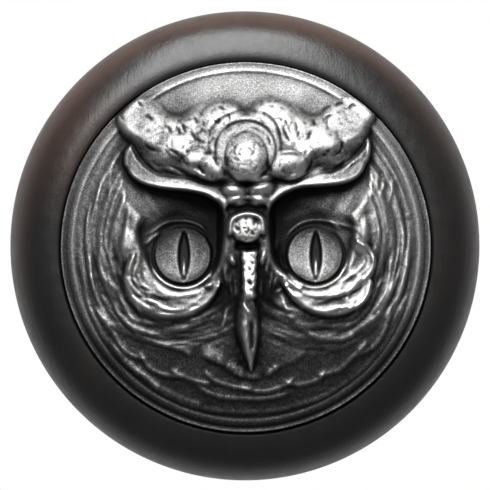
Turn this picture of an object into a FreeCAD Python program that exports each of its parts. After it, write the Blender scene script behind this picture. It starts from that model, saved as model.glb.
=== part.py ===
"""Round wooden cabinet knob with a cast pewter owl medallion let into its face.

Millimetres. The origin is the centre of the foot's mounting face. +Z is up, as on a vertical door,
and the knob stands out of the door along -Y. Outlines are given as (radius, depth), where depth is
the distance in front of the mounting face, and are turned about the Y axis.
"""

import FreeCAD, Part
import math
import os

# ---- driving dimensions -------------------------------------------------------------------------
KNOB_R = 19.05  # 1 1/2 in across
PROJECTION = 28.6  # 1 1/8 in from the door to the highest point of the owl
FOOT_R = 9.5
FOOT_T = 2.2  # thickness of the rounded bead round the foot
FOOT_EDGE = 0.45  # how far the bead's edge is rounded in
FOOT_STEP = 0.7  # small square step between the bead and the neck
NECK_R = 6.4
NECK_D = 6.6
UNDER_R = 16.6  # where the hollow underside ends and the rim of the head rounds over
UNDER_D = 13.0
WIDEST_D = 16.8  # depth of the head's widest circle
MOUTH_D = 22.2  # depth of the wood where it meets the medallion
MOUTH_EASE = 0.15  # softened corner round the recess

MEDALLION_R = 14.8
FIT_GAP = 0.12  # radial gap between the medallion and its recess
RECESS_D = 19.6  # depth of the recess floor
BOND_T = 0.15
BOND_INSET = 0.3
POCKET_R = 11.0  # cored pocket in the back of the casting
POCKET_H = 0.8
FIELD_D = 22.6  # flat field of the casting, between the rim and the plumage
RIM_PROUD = 0.75  # how far the rim stands above the field
RIM_W = 0.95
RIM_EDGE = 0.22  # bevel on the rim's two edges
RELIEF_H = PROJECTION - FIELD_D

INSERT_L = 11.0
INSERT_R = 3.3
BARB_R = 3.6
BARB_COUNT = 4
BARB_PITCH = 2.2
BARB_L = 1.4
BARB_START = 1.8
COLLAR_R = 4.1
COLLAR_T = 0.8
THREAD_R = 1.73  # tapping bore of an 8-32 UNC thread
LEAD_IN = 0.4  # chamfer at the mouth of the thread
PILOT_R = 2.4  # drilled hole that gives a long screw room past the insert
PILOT_END_D = 15.0

SPANS = 90  # spans of the relief surface along each side
AXIS = FreeCAD.Vector(0, 1, 0)
ORIGIN = FreeCAD.Vector(0, 0, 0)


# ---- outlines -----------------------------------------------------------------------------------
def at(radius, depth):
    """A point of a turned outline."""
    return FreeCAD.Vector(radius, -depth, 0)


def lines(*points):
    """Straight edges through the points."""
    return [Part.makeLine(at(*a), at(*b)) for a, b in zip(points[:-1], points[1:])]


def quarter(level_end, upright_end):
    """A quarter of an ellipse, square to the axis at level_end and along the axis at upright_end."""
    centre = at(level_end[0], upright_end[1])
    major, minor = at(*level_end), at(*upright_end)
    if (minor - centre).Length > (major - centre).Length:
        major, minor = minor, major
    return Part.ArcOfEllipse(Part.Ellipse(major, minor, centre), 0, math.pi / 2).toShape()


def turned(edges):
    """The solid that a closed outline sweeps about the knob's axis."""
    return Part.Face(Part.Wire(edges)).revolve(ORIGIN, AXIS, 360)


# ---- turned wooden body -------------------------------------------------------------------------
def knob_body(insert_space):
    flat_r = FOOT_R - FOOT_EDGE
    step_r = FOOT_R - FOOT_STEP
    bead = (FOOT_R, FOOT_T / 2)
    neck = (NECK_R, NECK_D)
    under = (UNDER_R, UNDER_D)
    widest = (KNOB_R, WIDEST_D)
    recess_r = MEDALLION_R + FIT_GAP
    mouth = (recess_r + MOUTH_EASE, MOUTH_D)
    recess = [mouth, (recess_r, MOUTH_D - MOUTH_EASE), (recess_r, RECESS_D), (0, RECESS_D), (0, 0)]
    outline = [
        *lines((0, 0), (flat_r, 0)),
        quarter((flat_r, 0), bead),
        quarter((flat_r, FOOT_T), bead),
        *lines((flat_r, FOOT_T), (step_r, FOOT_T)),
        quarter((step_r, FOOT_T), neck),
        quarter(under, neck),
        quarter(under, widest),
        quarter(mouth, widest),
        *lines(*recess),
    ]
    pilot = Part.makeCylinder(PILOT_R, PILOT_END_D, ORIGIN, -AXIS)
    return turned(outline).cut(insert_space).cut(pilot)


# ---- brass threaded insert ----------------------------------------------------------------------
def insert_outline(inner_r):
    """Collar, then a row of saw-tooth barbs that grip the wood, closed along inner_r."""
    points = [(inner_r, 0), (COLLAR_R, 0), (COLLAR_R, COLLAR_T), (INSERT_R, COLLAR_T)]
    for k in range(BARB_COUNT):
        tooth = BARB_START + k * BARB_PITCH
        points += [(INSERT_R, tooth), (BARB_R, tooth), (INSERT_R, tooth + BARB_L)]
    points += [(INSERT_R, INSERT_L), (inner_r, INSERT_L), (inner_r, 0)]
    return points


def threaded_insert():
    body = turned(lines(*insert_outline(THREAD_R)))
    lead_in = Part.makeCone(THREAD_R + LEAD_IN, THREAD_R, LEAD_IN, ORIGIN, -AXIS)
    return body.cut(lead_in)


# ---- adhesive -----------------------------------------------------------------------------------
def adhesive_bond():
    """Cured layer under the casting, with a plug that fills the pocket in its back."""
    edge_r = MEDALLION_R - BOND_INSET
    top = RECESS_D + BOND_T
    plug_r = POCKET_R - POCKET_H / 2
    plug_top = top + POCKET_H
    return turned(lines((0, RECESS_D), (edge_r, RECESS_D), (edge_r, top), (POCKET_R, top),
                        (plug_r, plug_top), (0, plug_top), (0, RECESS_D)))


# ---- owl relief ---------------------------------------------------------------------------------
# Places on the relief are (across, up) from its centre, as shares of the medallion's radius, and
# heights are shares of the full relief.
def smooth(t):
    """0 below 0, 1 above 1, and an easy S between."""
    t = min(1.0, max(0.0, t))
    return t * t * (3 - 2 * t)


def mound(u, v, centre, reach, height, tilt=0.0):
    """A rounded rise, with reach along and across a direction turned by tilt degrees."""
    c, s = math.cos(math.radians(tilt)), math.sin(math.radians(tilt))
    du, dv = u - centre[0], v - centre[1]
    along = (du * c + dv * s) / reach[0]
    across = (dv * c - du * s) / reach[1]
    return height * math.exp(-along * along - across * across)


def distance_to(u, v, a, b):
    """Distance from a point to the straight stretch from a to b."""
    du, dv = b[0] - a[0], b[1] - a[1]
    t = ((u - a[0]) * du + (v - a[1]) * dv) / (du * du + dv * dv)
    t = min(1.0, max(0.0, t))
    return math.hypot(u - a[0] - t * du, v - a[1] - t * dv)


def ridge(u, v, path, width, height):
    """A rounded ridge that follows a path of points."""
    nearest = min(distance_to(u, v, a, b) for a, b in zip(path[:-1], path[1:]))
    return height * math.exp(-((nearest / width) ** 2))


BROW = [(0.67, 0.56), (0.62, 0.43), (0.52, 0.36), (0.36, 0.34), (0.22, 0.31), (0.13, 0.20)]
CHEEK = [(0.66, -0.02), (0.65, -0.17), (0.52, -0.30), (0.34, -0.30), (0.20, -0.20)]
FACE_RING = [(0.82, -0.05), (0.76, -0.28), (0.60, -0.46), (0.40, -0.52), (0.22, -0.50)]
BEAK = [(0.00, 0.14), (0.01, -0.25), (0.02, -0.45), (0.025, -0.62)]


def relief(u, v):
    """Height of the owl's head above the field, as a share of the full relief."""
    r = math.hypot(u, v)
    side = abs(u)
    height = 0.10 + 0.50 * math.sqrt(max(0.0, 1 - (r / 0.95) ** 2))
    height += mound(side, v, (0.56, 0.67), (0.17, 0.13), 0.32, tilt=45)  # ear tuft
    height += mound(side, v, (0.33, 0.53), (0.20, 0.13), 0.24, tilt=25)  # root of the tuft
    height += mound(u, v, (0, 0.54), (0.15, 0.16), 0.28)  # forehead boss
    height += mound(side, v, (0.06, 0.32), (0.06, 0.06), 0.16)  # knot between the brows
    height += ridge(side, v, BROW, 0.045, 0.20)
    height -= mound(side, v, (0.35, 0.17), (0.22, 0.12), 0.36)  # hollow under the brow
    height += mound(side, v, (0.36, -0.04), (0.13, 0.13), 0.14)  # eyeball
    height += ridge(side, v, CHEEK, 0.06, 0.18)
    height += ridge(side, v, FACE_RING, 0.03, 0.05)
    height -= ridge(side, v, [(0.15, -0.05), (0.17, -0.40)], 0.06, 0.14)  # furrow beside the beak
    height += ridge(u, v, BEAK, 0.065, 0.27)
    return smooth((0.95 - r) / 0.13) * height


def relief_surface():
    """The owl's front as one smooth surface that runs a little past the casting's edge."""
    reach = MEDALLION_R * 1.02
    steps = [2 * k / SPANS - 1 for k in range(SPANS + 1)]
    heights = [[relief(1.02 * u, 1.02 * v) for v in steps] for u in steps]
    scale = RELIEF_H / max(max(row) for row in heights)
    front = Part.BSplineSurface()
    front.interpolate([
        [FreeCAD.Vector(u * reach, -FIELD_D - h * scale, v * reach) for v, h in zip(steps, row)]
        for u, row in zip(steps, heights)
    ])
    return front.toShape()


# ---- cast medallion -----------------------------------------------------------------------------
def medallion_rim():
    """A raised ring with a bevel on each edge, rooted in the casting below the field."""
    top, low = FIELD_D + RIM_PROUD, FIELD_D - 1.0
    outer, inner = MEDALLION_R, MEDALLION_R - RIM_W
    return turned(lines(
        (inner, low), (inner, top - RIM_EDGE), (inner + RIM_EDGE, top), (outer - RIM_EDGE, top),
        (outer, top - RIM_EDGE), (outer, low), (inner, low),
    ))


def owl_medallion():
    """One casting: a disc with a raised rim, the owl's head in relief, and a cored back."""
    back = RECESS_D + BOND_T
    blank = Part.makeCylinder(MEDALLION_R, PROJECTION, FreeCAD.Vector(0, -back, 0), -AXIS)
    behind_relief = relief_surface().extrude(FreeCAD.Vector(0, PROJECTION, 0))
    return behind_relief.common(blank).fuse(medallion_rim()).cut(adhesive_bond())


# ---- build --------------------------------------------------------------------------------------
def main():
    parts = {
        "knob_body": knob_body(turned(lines(*insert_outline(0)))),
        "threaded_insert": threaded_insert(),
        "adhesive_bond": adhesive_bond(),
        "owl_medallion": owl_medallion(),
    }
    os.makedirs("parts", exist_ok=True)
    for node, shape in parts.items():
        shape.exportStep(os.path.join("parts", node + ".step"))
        box = shape.BoundBox
        print(node, len(shape.Solids), "solid,", round(shape.Volume, 1), "mm3,",
              "depth", round(-box.YMax, 3), "to", round(-box.YMin, 3), "valid", shape.isValid())


main()
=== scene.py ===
"""Looks of the owl cabinet knob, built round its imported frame. Metres; the owl faces -Y and +Z is up."""
import math

import bpy
import numpy as np
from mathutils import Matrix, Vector

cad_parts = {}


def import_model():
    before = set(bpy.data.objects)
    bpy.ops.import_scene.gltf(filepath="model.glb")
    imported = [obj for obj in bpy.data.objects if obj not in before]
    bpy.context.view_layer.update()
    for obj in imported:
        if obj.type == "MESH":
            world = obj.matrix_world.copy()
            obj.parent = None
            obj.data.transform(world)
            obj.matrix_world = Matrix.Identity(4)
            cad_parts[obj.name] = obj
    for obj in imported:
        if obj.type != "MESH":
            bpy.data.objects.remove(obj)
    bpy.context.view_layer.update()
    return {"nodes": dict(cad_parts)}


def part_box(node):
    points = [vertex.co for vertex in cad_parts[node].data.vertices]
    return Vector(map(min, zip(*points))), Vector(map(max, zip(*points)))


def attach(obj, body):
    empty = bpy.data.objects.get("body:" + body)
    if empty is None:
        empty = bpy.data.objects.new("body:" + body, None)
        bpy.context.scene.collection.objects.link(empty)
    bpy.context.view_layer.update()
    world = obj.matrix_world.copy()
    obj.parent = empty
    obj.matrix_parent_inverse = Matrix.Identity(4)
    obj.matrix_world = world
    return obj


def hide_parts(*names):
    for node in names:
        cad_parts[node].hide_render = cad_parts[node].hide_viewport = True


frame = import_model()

MM = 0.001
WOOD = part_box("knob_body")
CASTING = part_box("owl_medallion")
KNOB_R = WOOD[1][0]
MEDALLION_R = CASTING[1][0]
MOUTH_Y = WOOD[0][1]
BACK_Y = CASTING[1][1]
FRONT_Y = CASTING[0][1]

# ---- height sheet ----
# Places on the sheet are (u, v), u to the right and v up. Places, widths and heights are all in
# medallion radii, so the rim is at 1.
SHEET_N = 600
SHEET_REACH = 1.03
NOISE_N = 97


def smooth(t):
    """0 below 0, 1 above 1, and an easy S between."""
    t = np.clip(t, 0.0, 1.0)
    return t * t * (3 - 2 * t)


def past(value, start, span):
    """0 up to start, then a smooth climb to 1 over the span."""
    return smooth((value - start) / span)


def before(value, end, span):
    """A smooth fall from 1 over the span, and 0 from the end on."""
    return smooth((end - value) / span)


def bell(value, centre, width):
    """1 at the centre, fading on both sides."""
    return np.exp(-((value - centre) / width) ** 2)


def along(share, values):
    """Values set out evenly along a path, read at a share of the way."""
    values = np.atleast_1d(values)
    return np.interp(share, np.linspace(0, 1, len(values)), values)


def curve(path, steps=6):
    """A smooth curve through the points of a path."""
    p = np.array(path, float)
    if len(p) < 3:
        return p
    p = np.vstack([2 * p[0] - p[1], p, 2 * p[-1] - p[-2]])
    out = []
    for a, b, c, d in zip(p[:-3], p[1:-2], p[2:-1], p[3:]):
        for t in np.arange(steps) / steps:
            out.append(0.5 * (2 * b + (c - a) * t + (2 * a - 5 * b + 4 * c - d) * t * t
                              + (3 * b - a - 3 * c + d) * t ** 3))
    return np.array(out + [p[-2]])


def blur(sheet, reach):
    """Box blurs along both ways, repeated until they come close to a round one."""
    half = max(1, int(round(reach / SHEET_REACH * SHEET_N / 2)))
    for axis in (0, 1, 0, 1, 0, 1):
        pad = [(0, 0), (0, 0)]
        pad[axis] = (half + 1, half)
        total = np.cumsum(np.pad(sheet, pad, mode="edge"), axis=axis)
        n = sheet.shape[axis]
        high = np.take(total, np.arange(n) + 2 * half + 1, axis=axis)
        low = np.take(total, np.arange(n), axis=axis)
        sheet = (high - low) / (2 * half + 1)
    return sheet


def noise(x, y, seed):
    """Smooth random values from -1 to 1, one new value per unit step."""
    table = np.random.default_rng(seed).uniform(-1, 1, (NOISE_N, NOISE_N))
    xi, yi = np.floor(x).astype(int), np.floor(y).astype(int)
    tx, ty = smooth(x - xi), smooth(y - yi)
    left, right = xi % NOISE_N, (xi + 1) % NOISE_N
    low, high = yi % NOISE_N, (yi + 1) % NOISE_N
    a = table[low, left] * (1 - tx) + table[low, right] * tx
    b = table[high, left] * (1 - tx) + table[high, right] * tx
    return a * (1 - ty) + b * ty


class Sheet:
    """Heights, and patina with painted light and shade, over the medallion's face, and mass, which is 1 on
    the ears and forehead.
    """

    def __init__(self):
        line = np.linspace(-SHEET_REACH, SHEET_REACH, SHEET_N)
        self.u, self.v = np.meshgrid(line, line)
        self.r = np.hypot(self.u, self.v)
        self.side_u = np.abs(self.u)
        self.h = np.zeros_like(self.r)
        self.patina_and_painted_light = np.zeros_like(self.r)
        self.mass = np.zeros_like(self.r)

    def window(self, points, margin):
        """The part of the sheet within a margin of the points."""
        p = np.atleast_2d(points)
        scale = (SHEET_N - 1) / (2 * SHEET_REACH)
        lo = np.floor((p.min(axis=0) - margin + SHEET_REACH) * scale).astype(int)
        hi = np.ceil((p.max(axis=0) + margin + SHEET_REACH) * scale).astype(int) + 1
        lo = np.clip(lo, 0, SHEET_N)
        hi = np.clip(hi, 0, SHEET_N)
        return (slice(lo[1], hi[1]), slice(lo[0], hi[0]))

    def near(self, path, margin):
        """Distance to a path, share of the way along it, and how far inside it towards the centre."""
        c = curve(path)
        w = self.window(c, margin)
        u, v = self.u[w], self.v[w]
        best = np.full(u.shape, np.inf)
        share = np.zeros(u.shape)
        inward = np.zeros(u.shape)
        lengths = np.hypot(*(c[1:] - c[:-1]).T)
        start = np.concatenate([[0], np.cumsum(lengths)]) / lengths.sum()
        for k, (a, b) in enumerate(zip(c[:-1], c[1:])):
            d = b - a
            t = np.clip(((u - a[0]) * d[0] + (v - a[1]) * d[1]) / (d @ d), 0, 1)
            x, y = a[0] + t * d[0], a[1] + t * d[1]
            dist = np.hypot(u - x, v - y)
            closer = dist < best
            best = np.where(closer, dist, best)
            share = np.where(closer, start[k] + t * (start[k + 1] - start[k]), share)
            inward = np.where(closer, np.hypot(x, y) - self.r[w], inward)
        return w, best, share, inward

    def inside(self, outline, margin=0.15):
        """Distance inside a closed outline, negative outside and no less than minus the margin."""
        c = curve(outline + outline[:1], 4)
        w = self.window(c, margin)
        u, v = self.u[w], self.v[w]
        best = np.full(u.shape, margin)
        crossings = np.zeros(u.shape, int)
        for a, b in zip(c[:-1], c[1:]):
            d = b - a
            t = np.clip(((u - a[0]) * d[0] + (v - a[1]) * d[1]) / (d @ d + 1e-12), 0, 1)
            best = np.minimum(best, np.hypot(u - a[0] - t * d[0], v - a[1] - t * d[1]))
            if a[1] != b[1]:
                spans = (a[1] <= v) != (b[1] <= v)
                crossings += spans & (u < a[0] + (v - a[1]) * d[0] / d[1])
        depth = np.full(self.u.shape, -margin)
        depth[w] = np.where(crossings % 2 == 1, best, -best)
        return depth

    def oval(self, centre, radii, tilt, grow=1.0):
        """Squared distance from the centre of a tilted oval, 1 at its edge."""
        w = self.window(centre, grow * max(radii))
        du, dv = self.u[w] - centre[0], self.v[w] - centre[1]
        c, s = math.cos(math.radians(tilt)), math.sin(math.radians(tilt))
        return w, ((du * c + dv * s) / radii[0]) ** 2 + ((dv * c - du * s) / radii[1]) ** 2

    def ridge(self, path, width, rise, taper=0.2, patina_and_painted_light=0.0):
        """A soft ridge along a path, or a groove if rise is negative, fading at its ends."""
        w, d, share, _ = self.near(path, 3 * width)
        ends = smooth(np.minimum(share, 1 - share) / taper) if taper else 1.0
        shape = ends * np.exp(-((d / width) ** 2))
        self.h[w] += rise * shape
        self.patina_and_painted_light[w] += patina_and_painted_light * shape

    def swell(self, path, width, peak, steep):
        """A fold with a clean foot, standing at heights peak along its path."""
        w, d, share, _ = self.near(path, 0.45)
        fold = along(share, peak) - steep * d * d / along(share, width)
        self.h[w] = np.maximum(self.h[w], fold)

    def clumps(self, ovals, paths=()):
        """Rounded clumps side by side on the present surface, with creases between them."""
        clump = np.zeros_like(self.h)
        for centre, radii, tilt, rise in ovals:
            w, q = self.oval(centre, radii, tilt)
            clump[w] = np.maximum(clump[w], rise * (1 - q))
        for path, widths, rise in paths:
            w, d, share, _ = self.near(path, max(widths))
            clump[w] = np.maximum(clump[w], rise * (1 - (d / along(share, widths)) ** 2))
        self.h += clump

    def flap(self, path, rise, reach, comb, lip=0.010, fade=0.08):
        """The standing edge of a feather: a step that falls away gently towards the centre."""
        w, d, share, inward = self.near(path, 2.5 * reach)
        teeth = noise(70 * share, 0 * share, 61) + 0.6 * noise(150 * share, 0 * share, 62)
        inward = inward + 0.006 * comb * teeth
        rise = rise * (1 + comb * teeth * np.exp(-d / 0.04))
        side = smooth(inward / lip * 0.5 + 0.5)
        ends = smooth(np.minimum(share, 1 - share) / fade)
        self.h[w] += rise * side * ends * np.exp(-((d / reach) ** 1.5))


# ---- places on the face ----
# Outline of the ears and forehead.
MASS = [
    (-0.7, 0.71), (-0.61, 0.8), (-0.5, 0.8), (-0.42, 0.73), (-0.345, 0.72), (-0.26, 0.775),
    (-0.15, 0.805), (-0.05, 0.785), (0, 0.745), (0.05, 0.79), (0.14, 0.815), (0.25, 0.78), (0.33, 0.72),
    (0.4, 0.72), (0.48, 0.79), (0.58, 0.82), (0.67, 0.79), (0.71, 0.72), (0.68, 0.64), (0.65, 0.55),
    (0.57, 0.455), (0.48, 0.405), (0.4, 0.397), (0.33, 0.375), (0.25, 0.345), (0.16, 0.35),
    (0.11, 0.345), (0.04, 0.335), (-0.04, 0.335), (-0.11, 0.34), (-0.16, 0.335), (-0.24, 0.345),
    (-0.31, 0.367), (-0.42, 0.372), (-0.51, 0.4), (-0.58, 0.465), (-0.63, 0.55), (-0.7, 0.65),
]
# Outline of the brows; its lower edge is the sharp one over the eyes.
SHELF = [
    (-0.6, 0.58), (-0.3, 0.52), (0, 0.5), (0.3, 0.54), (0.6, 0.62), (0.655, 0.6), (0.672, 0.55),
    (0.665, 0.48), (0.63, 0.41), (0.55, 0.353), (0.4, 0.333), (0.3, 0.325), (0.205, 0.295),
    (0.148, 0.245), (0.122, 0.19), (0.095, 0.235), (0, 0.265), (-0.095, 0.235), (-0.122, 0.18),
    (-0.148, 0.23), (-0.205, 0.28), (-0.3, 0.302), (-0.42, 0.312), (-0.55, 0.342), (-0.63, 0.395),
    (-0.658, 0.45), (-0.655, 0.515), (-0.635, 0.545),
]
# Lobes of the mass: (centre), (radii), tilt in degrees, step at the edge, rise of the dome.
LOBES = [
    ((-0.6, 0.7), (0.155, 0.115), 30, 0, 0.01),
    ((-0.51, 0.66), (0.115, 0.095), 15, 0.002, 0.012),
    ((-0.55, 0.57), (0.125, 0.1), 30, 0.002, 0.014),
    ((-0.47, 0.5), (0.125, 0.085), 10, 0, 0.014),
    ((-0.4, 0.66), (0.095, 0.085), 20, 0.002, 0.014),
    ((-0.3, 0.655), (0.09, 0.075), 45, 0, 0.014),
    ((-0.36, 0.57), (0.105, 0.095), 20, 0.004, 0.024),
    ((-0.21, 0.585), (0.075, 0.08), 40, 0, 0.014),
    ((-0.125, 0.7), (0.13, 0.092), 15, 0.006, 0.028),
    ((-0.275, 0.47), (0.08, 0.076), -15, 0.008, 0.028),
    ((-0.192, 0.43), (0.08, 0.08), -30, 0.014, 0.038),
    ((-0.008, 0.56), (0.19, 0.177), 0, 0.014, 0.022),
    ((-0.005, 0.53), (0.158, 0.15), 0, 0.026, 0.026),
    ((-0.002, 0.486), (0.11, 0.132), 0, 0.038, 0.044),
    ((0.152, 0.72), (0.135, 0.095), -30, 0.006, 0.028),
    ((0.26, 0.64), (0.09, 0.1), -50, 0.002, 0.016),
    ((0.33, 0.56), (0.085, 0.08), -30, 0.002, 0.016),
    ((0.415, 0.575), (0.112, 0.09), -20, 0.005, 0.026),
    ((0.222, 0.44), (0.104, 0.09), -12, 0.01, 0.034),
    ((0.48, 0.49), (0.125, 0.08), -15, 0, 0.014),
    ((0.47, 0.695), (0.11, 0.09), -15, 0.002, 0.012),
    ((0.56, 0.61), (0.12, 0.1), 0, 0.002, 0.014),
    ((0.6, 0.71), (0.15, 0.11), -25, 0, 0.01),
]
# Cuts between the lobes of the ears and forehead.
CREASES = [
    [(-0.565, 0.795), (-0.5, 0.825), (-0.43, 0.86)], [(-0.59, 0.775), (-0.575, 0.78), (-0.56, 0.76)],
    [(-0.68, 0.72), (-0.67, 0.7), (-0.655, 0.685)], [(-0.555, 0.705), (-0.53, 0.71), (-0.5, 0.68)],
    [(-0.44, 0.662), (-0.42, 0.65), (-0.4, 0.61)], [(-0.375, 0.655), (-0.36, 0.63), (-0.36, 0.6)],
    [(-0.355, 0.675), (-0.335, 0.65), (-0.33, 0.615)],
    [(-0.3, 0.65), (-0.285, 0.61), (-0.25, 0.575), (-0.2, 0.565)],
    [(-0.29, 0.71), (-0.27, 0.69), (-0.265, 0.66)], [(-0.55, 0.565), (-0.52, 0.535), (-0.47, 0.52)],
    [(-0.43, 0.54), (-0.38, 0.51), (-0.35, 0.49)],
    [(-0.34, 0.515), (-0.345, 0.49), (-0.33, 0.46), (-0.3, 0.445)],
    [(-0.27, 0.465), (-0.245, 0.42), (-0.21, 0.385), (-0.18, 0.365)],
    [(-0.18, 0.51), (-0.165, 0.47), (-0.145, 0.43)], [(-0.112, 0.5), (-0.107, 0.46), (-0.1, 0.43)],
    [(-0.155, 0.755), (-0.135, 0.757), (-0.118, 0.74)], [(-0.145, 0.7), (-0.152, 0.665)],
    [(-0.2, 0.59), (-0.19, 0.64), (-0.13, 0.7), (-0.05, 0.735), (0, 0.742)],
    [(-0.14, 0.6), (-0.09, 0.66), (-0.04, 0.68), (0, 0.685), (0.05, 0.68), (0.1, 0.655), (0.14, 0.615),
     (0.152, 0.58)],
    [(0.04, 0.745), (0.1, 0.72), (0.15, 0.68), (0.175, 0.62), (0.18, 0.55)],
    [(0.19, 0.67), (0.21, 0.61), (0.235, 0.565)], [(0.18, 0.7), (0.197, 0.682)],
    [(0.208, 0.695), (0.222, 0.655)], [(0.355, 0.645), (0.337, 0.61), (0.332, 0.575)],
    [(0.26, 0.69), (0.27, 0.65), (0.265, 0.615)], [(0.36, 0.7), (0.37, 0.655)],
    [(0.48, 0.715), (0.44, 0.71), (0.433, 0.68), (0.44, 0.64)],
    [(0.48, 0.755), (0.5, 0.78), (0.535, 0.775)], [(0.55, 0.74), (0.575, 0.77), (0.605, 0.755)],
    [(0.5, 0.605), (0.513, 0.57), (0.51, 0.53), (0.48, 0.5), (0.44, 0.495)],
    [(0.345, 0.505), (0.348, 0.46), (0.33, 0.42), (0.285, 0.395)],
    [(0.31, 0.485), (0.26, 0.507), (0.2, 0.507), (0.165, 0.49)],
    [(0.11, 0.48), (0.115, 0.44), (0.14, 0.405)], [(0.4, 0.43), (0.45, 0.41), (0.5, 0.44), (0.55, 0.5)],
]
# Strands that hang from the lower edge of the mass over the brows.
HANGING = [
    [(-0.47, 0.455), (-0.39, 0.415), (-0.3, 0.375)], [(-0.4, 0.46), (-0.31, 0.415), (-0.22, 0.365)],
    [(-0.33, 0.44), (-0.25, 0.395), (-0.17, 0.345)], [(-0.27, 0.42), (-0.2, 0.375), (-0.135, 0.325)],
    [(-0.54, 0.47), (-0.49, 0.43), (-0.42, 0.395)], [(0.3, 0.4), (0.24, 0.375), (0.16, 0.35)],
    [(0.36, 0.43), (0.29, 0.395), (0.2, 0.365)], [(0.45, 0.44), (0.38, 0.415), (0.31, 0.39)],
    [(0.6, 0.52), (0.57, 0.465), (0.5, 0.425)],
]
# Edges of the scale feathers under the face.
NECK_ROWS = [
    [(-0.3, -0.72), (-0.24, -0.77), (-0.2, -0.795), (-0.1, -0.82), (0, -0.825), (0.1, -0.825),
     (0.2, -0.805), (0.27, -0.77)],
    [(-0.74, -0.52), (-0.68, -0.6), (-0.62, -0.66), (-0.55, -0.7), (-0.5, -0.75), (-0.45, -0.79)],
    [(-0.24, -0.66), (-0.18, -0.72), (-0.1, -0.75), (-0.01, -0.77), (0.04, -0.765)],
    [(-0.05, -0.75), (0, -0.768), (0.08, -0.785), (0.15, -0.775), (0.23, -0.74), (0.27, -0.7)],
    [(0.2, -0.72), (0.25, -0.745), (0.32, -0.745), (0.4, -0.715), (0.44, -0.66)],
    [(0.38, -0.7), (0.44, -0.69), (0.52, -0.66), (0.58, -0.6), (0.64, -0.54), (0.67, -0.49)],
    [(0.58, -0.6), (0.63, -0.58), (0.7, -0.54), (0.745, -0.48), (0.78, -0.38), (0.79, -0.3)],
    [(-0.83, -0.32), (-0.79, -0.38), (-0.73, -0.46), (-0.69, -0.53), (-0.63, -0.585), (-0.57, -0.605),
     (-0.53, -0.6)],
    [(-0.59, -0.56), (-0.565, -0.6), (-0.53, -0.655), (-0.46, -0.69), (-0.38, -0.7), (-0.33, -0.695)],
    [(-0.42, -0.66), (-0.37, -0.69), (-0.3, -0.72), (-0.22, -0.74), (-0.18, -0.735)],
]
# Feather edges that run along the rim.
BORDER_LINES = [
    [(-0.88, -0.18), (-0.87, -0.25), (-0.85, -0.33), (-0.8, -0.45), (-0.75, -0.53), (-0.7, -0.6),
     (-0.6, -0.685), (-0.5, -0.765), (-0.4, -0.82), (-0.3, -0.86), (-0.2, -0.885), (-0.1, -0.895),
     (0, -0.9), (0.1, -0.895), (0.2, -0.885), (0.3, -0.855), (0.4, -0.825), (0.5, -0.77), (0.6, -0.7),
     (0.7, -0.605), (0.78, -0.5), (0.83, -0.4), (0.86, -0.3), (0.89, -0.18)],
    [(-0.76, -0.49), (-0.66, -0.6), (-0.58, -0.68), (-0.53, -0.72), (-0.42, -0.79), (-0.3, -0.84),
     (-0.22, -0.865)],
]
# Feather edges round the eyes and cheeks, each with its rise.
FACE_RINGS = [
    ([(-0.68, -0.37), (-0.6, -0.46), (-0.5, -0.51), (-0.42, -0.535), (-0.34, -0.56), (-0.29, -0.595)],
     0.016),
    ([(-0.73, -0.28), (-0.68, -0.38), (-0.6, -0.44), (-0.53, -0.465), (-0.45, -0.468), (-0.35, -0.45),
      (-0.25, -0.405), (-0.16, -0.33)],
     0.014),
    ([(-0.7, -0.24), (-0.64, -0.36), (-0.58, -0.4), (-0.5, -0.415), (-0.4, -0.405), (-0.3, -0.4),
      (-0.24, -0.37)],
     0.014),
    ([(-0.14, -0.46), (-0.125, -0.4), (-0.11, -0.36)], 0.01),
    ([(0.82, -0.15), (0.77, -0.28), (0.7, -0.38), (0.62, -0.44), (0.54, -0.495), (0.47, -0.5),
      (0.38, -0.49), (0.29, -0.43), (0.21, -0.33), (0.17, -0.24)],
     0.018),
    ([(0.72, -0.22), (0.66, -0.34), (0.58, -0.41), (0.5, -0.43), (0.42, -0.425), (0.33, -0.38),
      (0.26, -0.3)],
     0.014),
    ([(0.7, -0.2), (0.64, -0.32), (0.55, -0.385), (0.45, -0.4), (0.38, -0.38), (0.32, -0.33)], 0.012),
    ([(0.6, -0.5), (0.52, -0.545), (0.42, -0.56)], 0.008),
]
# Single feathers at the sides of the head.
SIDE_FEATHERS = [
    [(0.665, 0.34), (0.672, 0.29), (0.665, 0.23)], [(0.7, 0.43), (0.708, 0.36), (0.7, 0.28)],
    [(0.745, 0.4), (0.742, 0.33), (0.71, 0.25)], [(0.79, 0.38), (0.785, 0.3), (0.77, 0.22)],
    [(0.7, 0.2), (0.72, 0.1), (0.71, 0)], [(0.77, 0.16), (0.785, 0.05), (0.76, -0.08)],
    [(0.84, 0.2), (0.85, 0.05), (0.83, -0.1)], [(0.8, -0.02), (0.8, -0.12), (0.765, -0.24)],
    [(0.86, -0.1), (0.85, -0.2), (0.8, -0.34), (0.74, -0.44)],
    [(0.87, -0.2), (0.82, -0.35), (0.76, -0.47)], [(-0.7, 0.5), (-0.735, 0.36), (-0.74, 0.22)],
    [(-0.76, 0.44), (-0.8, 0.28), (-0.81, 0.1)], [(-0.84, 0.3), (-0.86, 0.12), (-0.86, -0.05)],
    [(-0.72, 0.15), (-0.73, 0), (-0.72, -0.15)], [(-0.78, 0.05), (-0.79, -0.1), (-0.75, -0.25)],
    [(-0.84, -0.05), (-0.83, -0.18), (-0.78, -0.32)], [(-0.88, -0.05), (-0.87, -0.2), (-0.835, -0.31)],
]
# Feather edges of the chin, each with its rise.
CHIN = [
    ([(-0.26, -0.57), (-0.2, -0.6), (-0.12, -0.635), (-0.05, -0.685), (0.02, -0.705), (0.1, -0.7)],
     0.022),
    ([(0.09, -0.705), (0.13, -0.685), (0.17, -0.65), (0.22, -0.63), (0.28, -0.6), (0.34, -0.55)], 0.011),
]
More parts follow.
